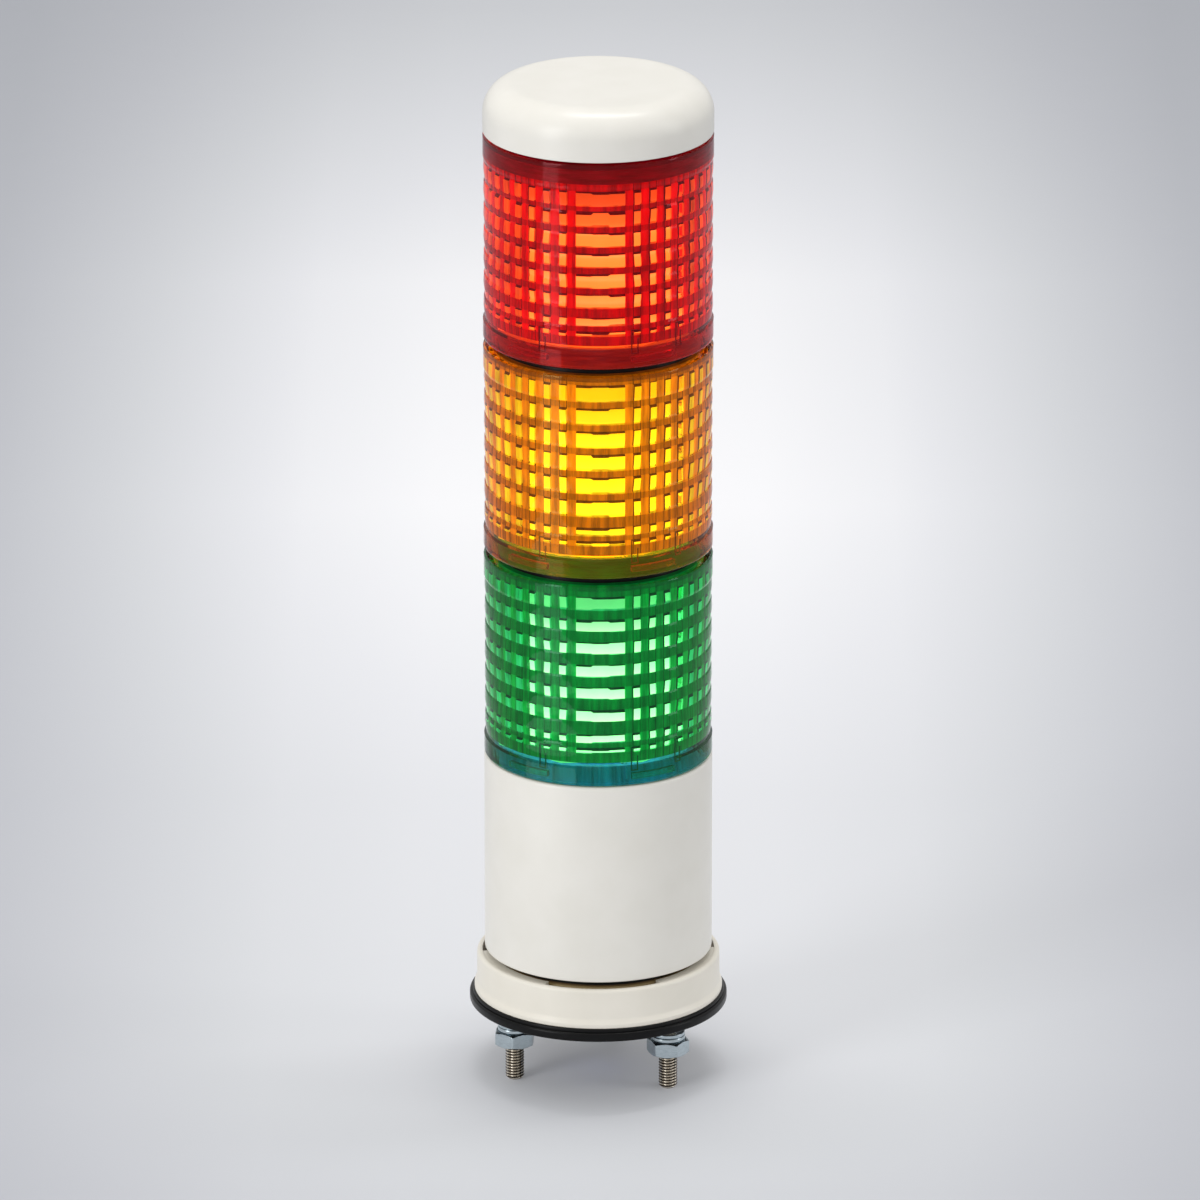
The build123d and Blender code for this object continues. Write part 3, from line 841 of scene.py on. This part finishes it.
def make_lens(tier, low, materials):
    """A lens: clear outside, with opaque ribs and bars inside between its windows."""
    random = Random(tier)
    facets = facet_angles()
    stops = window_stops()
    rings = []

    def ring(radius, z, zone):
        """An even ring of the section, and what lies between it and the next."""
        angles = facets if zone == CLEAR else [stop[0] for stop in stops]
        rings.append(([at_angle(radius, angle, low + z) for angle in angles], zone))

    def facet_ring(relief, z):
        """A ring of the flat-sided outside."""
        points = [at_angle(outer_radius(angle, relief), angle, low + z) for angle in facets]
        rings.append((points, CLEAR))

    def window_ring(z, zone):
        """A ring along the windows' lower or upper edges, which are a little uneven."""
        shifts = [random.uniform(-JITTER, JITTER) for column in range(SIDE_COLUMNS + WIDE_GROUPS)]
        turns = [0] * WIDE_GROUPS + [random.uniform(-JITTER, JITTER) for column in range(SIDE_COLUMNS)]
        rings.append(([
            at_angle(WINDOW_R if is_window else RIB_R, angle + turns[column],
                     low + z + (shifts[column] if is_window else 0))
            for angle, is_window, column in stops
        ], zone))

    # inside, from the foot up
    ring(SKIRT_R, 0, CLEAR)
    ring(SKIRT_R, SKIRT_INNER_TOP, RIB)
    ring(RIB_R, RIB_BOTTOM, RIB)
    first, pitch, height = ROW_WINDOWS[tier]
    for row in range(-1, ROWS):
        middle = first + row * pitch if row >= 0 else first - FOOT_ROW_DROP
        half = height / 2 if row > 0 else LOW_HALF + row * LOW_HALF_STEP
        ring(RIB_R, middle - half - SLOPE, LIT)
        window_ring(middle - half, WINDOW)
        window_ring(middle + half, DARK)
        ring(RIB_R, middle + half + SLOPE, RIB)
    band_from = len(rings)
    ring(RIB_R, max(BAND_BOTTOM + ROWS * ROW_H, first + BAND_ROWS * pitch), BAND)
    ring(RIB_R, SHOULDER_IN_Z, BAND)
    ring(SPIGOT_IN_R, SHOULDER_IN_Z, BAND)
    ring(SPIGOT_IN_R, SPIGOT_TOP, BAND)
    ring(SPIGOT_OUT_R, SPIGOT_TOP, BAND)
    ring(SPIGOT_OUT_R, LENS_H, CLEAR)
    # outside, from the shoulder down
    ring(TOWER_R - EDGE, LENS_H, CLEAR)
    ring(TOWER_R - EDGE_MIDDLE, LENS_H - EDGE_MIDDLE, CLEAR)
    ring(TOWER_R, LENS_H - EDGE, CLEAR)
    ring(TOWER_R, BAND_BOTTOM + ROWS * ROW_H + BAND_REST, CLEAR)
    for row in reversed(range(ROWS)):
        foot = BAND_BOTTOM + row * ROW_H
        for rise, relief in ROW_RELIEFS:
            facet_ring(relief, foot + rise)
    ring(TOWER_R, BAND_BOTTOM - GAP, CLEAR)
    ring(TOWER_R, EDGE, CLEAR)
    ring(TOWER_R - EDGE_MIDDLE, EDGE_MIDDLE, CLEAR)
    ring(TOWER_R - EDGE, 0, CLEAR)

    def slot_of(number, step, following):
        """The slot of a face: its ring's zone, changed where a window starts, ends or lies between."""
        zone = rings[number][1]
        if zone not in (WINDOW, LIT, DARK, RIB) or number >= band_from:
            return zone
        angle, here, column = stops[step]
        if here and stops[following][1]:
            if zone == WINDOW:
                aside = abs(abs((angle + 180) % 360 - 180) - 90) < 90 - SEE_THROUGH
                return LIT if aside else CLEAR
            return BAR if zone == RIB else zone
        if column < WIDE_GROUPS or here == stops[following][1]:
            return BAR if zone == RIB else RIB
        return LIT if here and zone == WINDOW else DARK

    form = Form(f"{tier}_lens_shell")
    form.grid([points for points, zone in rings], slot_of=slot_of)
    for start in CLAW_STARTS:
        form.block(SKIRT_R - CLAW_DEPTH, SKIRT_R + CLAW_ROOT, start, CLAW_SPAN,
                   low + CLAW_BOTTOM, low + CLAW_BOTTOM + CLAW_H, 8)
    bottom, top = low + HOOK_BOTTOM, low + HOOK_TOP
    inner_r, outer_r = (RIB_R + depth for depth in HOOK_DEPTHS)
    for angle in HOOK_ANGLES:
        left, right = angle - HOOK_SPAN / 2, angle + HOOK_SPAN / 2
        for start, span, from_z, to_z in (
            (left, HOOK_LINE, bottom, top),
            (right, HOOK_LINE, bottom, top - HOOK_SHORTER),
            (left, HOOK_SPAN, bottom, bottom + HOOK_LINE_H),
            (left, HOOK_SPAN, top - HOOK_LINE_H, top),
        ):
            form.block(inner_r, outer_r, start, span, from_z, to_z, 2, slot=DARK)
    form.finish(materials, f"{tier}_lens", tier, edge=12)
    seal = Form(f"{tier}_seal")
    seal.turned(rounded([
        (SPIGOT_OUT_R - SEAL_ROOT, low + LENS_H, 0),
        (SPIGOT_OUT_R + SEAL_T, low + LENS_H, 0),
        (SPIGOT_OUT_R + SEAL_T, low + SEAL_TOP, 0.15),
        (SPIGOT_OUT_R - SEAL_ROOT, low + SEAL_TOP, 0),
    ]))
    seal.finish([black_rubber], f"{tier}_lens", tier)


# Materials: colour, shaded colour and roughness, or for steel the turning marks' stretch
white = moulded_plastic("white_moulding", srgb(238, 235, 227), srgb(234, 231, 222), 0.3)
ivory = moulded_plastic("ivory_moulding", srgb(238, 233, 221), srgb(233, 228, 215), 0.34)
black_rubber = rubber("gasket_rubber")
shaded_neck_plastic = painted_shade_neck("painted_shade_neck")
# the body's spigot: blue plastic with a painted glow
blue_plastic_painted_glow = rib_plastic("spigot_painted_glow", (0.08, 0.2, 0.8), 1.5)
dark_plastic = moulded_plastic("dark_moulding", srgb(26, 27, 29), srgb(20, 21, 23), 0.4)
zinc = plated_steel("zinc_plate", srgb(190, 202, 208), 0.2, (1, 1, 4))
# painted shade on the threads, dark over the outer part of each turn
thread_shade_steel = plated_steel("thread_painted_shade", srgb(52, 44, 36), 0.35, (1, 1, 4))
nickel = plated_steel("stud_steel", srgb(226, 218, 205), 0.16, (1, 1, 4))
board = moulded_plastic("board_resist", srgb(20, 90, 55), srgb(16, 76, 46), 0.35)
brass = plated_steel("contact_brass", srgb(210, 170, 95), 0.2, (1, 4, 1))
chip = moulded_plastic("chip_lens", srgb(240, 220, 120), srgb(230, 205, 100), 0.25)

DENSITY = 3000.0         # of the dye
PAINTED_FILL_GLOW = 0.015             # painted glow for light scattered in the plastic, as a share of its own colour
lens_tints = {           # at the surface, let through by the volume, and the painted glow of scattered light
    "red": ((1.0, 0.4, 0.45), (0.985, 0.76, 0.2), (1.0, 0.0, 0.02)),
    "amber": ((1.0, 0.8, 0.3), (0.975, 0.91, 0.0), (1.0, 0.35, 0.0)),
    "green": ((0.45, 1.0, 0.75), (0.50, 0.883, 0.76), (0.0, 0.6, 0.2)),
}
rib_colours = {          # ribs and their painted glow, band and its painted glow, and painted highlights
    "red": ((0.72, 0.0, 0.03), 1.1, (0.3, 0.0, 0.1), 0.3, (1.0, 0.42, 0.3)),
    "amber": ((0.86, 0.42, 0.0), 1.15, (0.4, 0.16, 0.05), 0.22, (1.0, 0.95, 0.4)),
    "green": ((0.0, 0.5, 0.12), 1.5, (0.0, 0.26, 0.08), 0.5, (0.3, 1.0, 0.5)),
}
core_glows = {           # colour and strength of the core's painted glow
    "red": ((1.0, 0.98, 0.98), 2.0),
    "amber": ((1.0, 1.0, 0.8), 1.6),
    "green": ((1.0, 0.32, 0.25), 8.0),
}
SHADE_DIM = 0.25         # painted shade of the dark lines and of the darker bars between rows, as shares of the ribs' colour and glow
SHADE_GLOW = 0.3
BAR_DIM = 0.75
BAR_GLOW = 0.7


def give_material(node, material):
    """Dresses a solid of the frame that keeps its own shape."""
    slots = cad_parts[node].data.materials
    slots.clear()
    slots.append(material)


for tier in ("green", "amber", "red"):
    low, high = box_of(f"{tier}_lens")
    deep, deep_glow, band, band_glow, highlight = rib_colours[tier]
    make_lens(tier, low.z, [
        tinted_plastic(f"{tier}_tint", *lens_tints[tier]),
        rib_plastic(f"{tier}_ribs", deep, deep_glow),
        rib_plastic(f"{tier}_band", band, band_glow, (12, 12, 90)),
        # painted highlights on the windows' lower edges and on the side windows
        rib_plastic(f"{tier}_painted_highlights", highlight, 1.0),
        # painted shade: dark lines and outlines, then the bars as a darker copy of the ribs
        rib_plastic(f"{tier}_shade", dimmed(deep, SHADE_DIM), SHADE_GLOW),
        rib_plastic(f"{tier}_bars", dimmed(deep, BAR_DIM), deep_glow * BAR_GLOW),
    ])
    glow, strength = core_glows[tier]
    lit = light_core(f"{tier}_core_glow", glow, strength, low, GLOW_LEVELS[tier])
    # the module base and the boards glow with the core's painted light too
    for node, material in {
        "light_core": lit, "module_base": lit, "contact_blades": brass,
        "led_board": lit, "leds": chip, "contact_board": lit,
    }.items():
        give_material(f"{tier}_{node}", material)

make_cap()
make_body()
make_flange()
make_gasket()
make_studs()
make_nuts()
make_washers()

for node, material in {
    "body_housing": white, "top_cap": white, "base_flange": ivory, "base_gasket": black_rubber,
    "body_spigot": blue_plastic_painted_glow, "control_board": board, "terminal_block": board,
    "relays": dark_plastic, "driver_chips": dark_plastic, "body_contact_board": board,
    "mounting_studs": nickel, "hex_nuts": zinc, "spring_washers": zinc, "flat_washers": zinc,
}.items():
    give_material(node, material)

make_stage()
make_lights()
make_camera()

scene = bpy.context.scene
scene.view_settings.view_transform = "Standard"
scene.cycles.use_denoising = True
scene.cycles.max_bounces = 10
scene.cycles.transmission_bounces = 10
scene.cycles.transparent_max_bounces = 16
